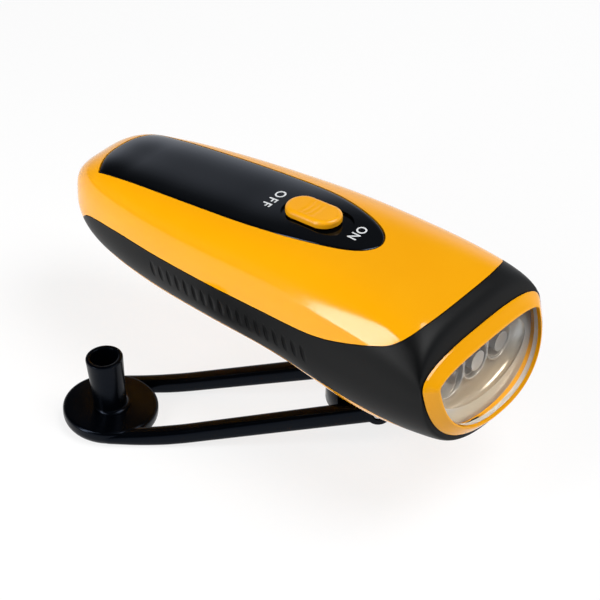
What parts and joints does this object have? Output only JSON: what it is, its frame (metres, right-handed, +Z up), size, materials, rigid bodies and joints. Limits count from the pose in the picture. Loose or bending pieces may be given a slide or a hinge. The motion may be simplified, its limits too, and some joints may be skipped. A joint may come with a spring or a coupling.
{
  "type": "hand crank flashlight",
  "caption": "Hand crank torch: yellow tapered body with black grip band, wide leaning lens, thumb switch, and a folding fork-shaped crank below that drives a geared generator.",
  "frame": {"origin": "middle of the bounding box at its lowest level, under the body, with the crank's disc standing on z = 0", "axes": "+X towards the lens along the body's length, +Y to the side away from the crank's arm, +Z up through the crank's hub"},
  "size_m": [0.1436, 0.0834, 0.0629],
  "materials": {
    "yellow_shell": "injection moulded ABS, glossy",
    "gloss_black": "polished ABS, piano black",
    "switch_yellow": "moulded ABS, semi gloss",
    "bezel_yellow": "injection moulded ABS, glossy",
    "grip_band": "soft-touch elastomer, satin",
    "crank_black": "moulded nylon, semi gloss",
    "clear_lens": "clear polycarbonate",
    "lamp_clear": "clear epoxy",
    "metallised": "vacuum metallised ABS",
    "steel": "zinc plated steel",
    "white_nylon": "acetal, natural",
    "circuit_board": "green solder mask",
    "copper_wire": "enamelled copper",
    "magnet": "ferrite",
    "cell_wrap": "heat-shrink PVC",
    "lead_insulation": "PVC insulation"
  },
  "bodies": {
    "torch_body": {"upper_shell": "yellow_shell", "lower_shell": "yellow_shell", "grip_collar": "grip_band", "top_panel": "gloss_black", "bezel": "bezel_yellow", "lens": "clear_lens", "reflector": "metallised", "led_1": "lamp_clear", "led_2": "lamp_clear", "led_3": "lamp_clear", "battery_cell_1": "steel", "battery_cell_2": "steel", "battery_cell_3": "steel", "battery_wrap": "cell_wrap", "led_board": "circuit_board", "control_board": "circuit_board", "switch_base": "steel", "stator_core": "steel", "stator_coil": "copper_wire", "battery_lead": "lead_insulation", "generator_lead": "lead_insulation", "lamp_lead": "lead_insulation", "gear_plate": "white_nylon", "idler_axle_1": "steel", "idler_axle_2": "steel", "plate_screw_1": "steel", "plate_screw_2": "steel", "plate_screw_3": "steel", "plate_screw_4": "steel", "board_screw_1": "steel", "board_screw_2": "steel", "case_screw_1": "steel", "case_screw_2": "steel", "case_screw_3": "steel", "case_screw_4": "steel"},
    "button": {"switch_button": "switch_yellow", "switch_lever": "white_nylon"},
    "crank": {"crank_hub": "crank_black", "hinge_pin": "steel", "drive_gear": "white_nylon", "gear_washer": "steel", "gear_screw": "steel"},
    "arm": {"crank_arm": "crank_black"},
    "idler_1": {"idler_gear_1": "white_nylon"},
    "idler_2": {"idler_gear_2": "white_nylon"},
    "rotor": {"rotor_shaft": "steel", "rotor_pinion": "white_nylon", "rotor_magnet": "magnet"}
  },
  "joints": [
    {"name": "crank_turn", "type": "hinge", "parent": "torch_body", "child": "crank", "pos_m": [0.02825, 0.01491, 0.01197], "axis": [0, 0, 1], "continuous": true},
    {"name": "crank_fold", "type": "hinge", "parent": "crank", "child": "arm", "pos_m": [0.0306, 0.01678, 0.01197], "axis": [0.6239, -0.7815, 0], "range_deg": [0, 168]},
    {"name": "switch_slide", "type": "slide", "parent": "torch_body", "child": "button", "axis": [0.9979, 0, 0.0642], "range_m": [0, 0.0025]},
    {"name": "idler_1_spin", "type": "hinge", "parent": "torch_body", "child": "idler_1", "pos_m": [0.00825, 0.01491, 0.02927], "axis": [0, 0, 1], "continuous": true},
    {"name": "idler_2_spin", "type": "hinge", "parent": "torch_body", "child": "idler_2", "pos_m": [-0.00775, 0.01491, 0.03227], "axis": [0, 0, 1], "continuous": true},
    {"name": "rotor_spin", "type": "hinge", "parent": "torch_body", "child": "rotor", "pos_m": [-0.02375, 0.01491, 0.03927], "axis": [0, 0, 1], "continuous": true}
  ],
  "couplings": [
    {"joint": "idler_1_spin", "follows": "crank_turn", "ratio": -4},
    {"joint": "idler_2_spin", "follows": "crank_turn", "ratio": 12},
    {"joint": "rotor_spin", "follows": "crank_turn", "ratio": -36}
  ]
}
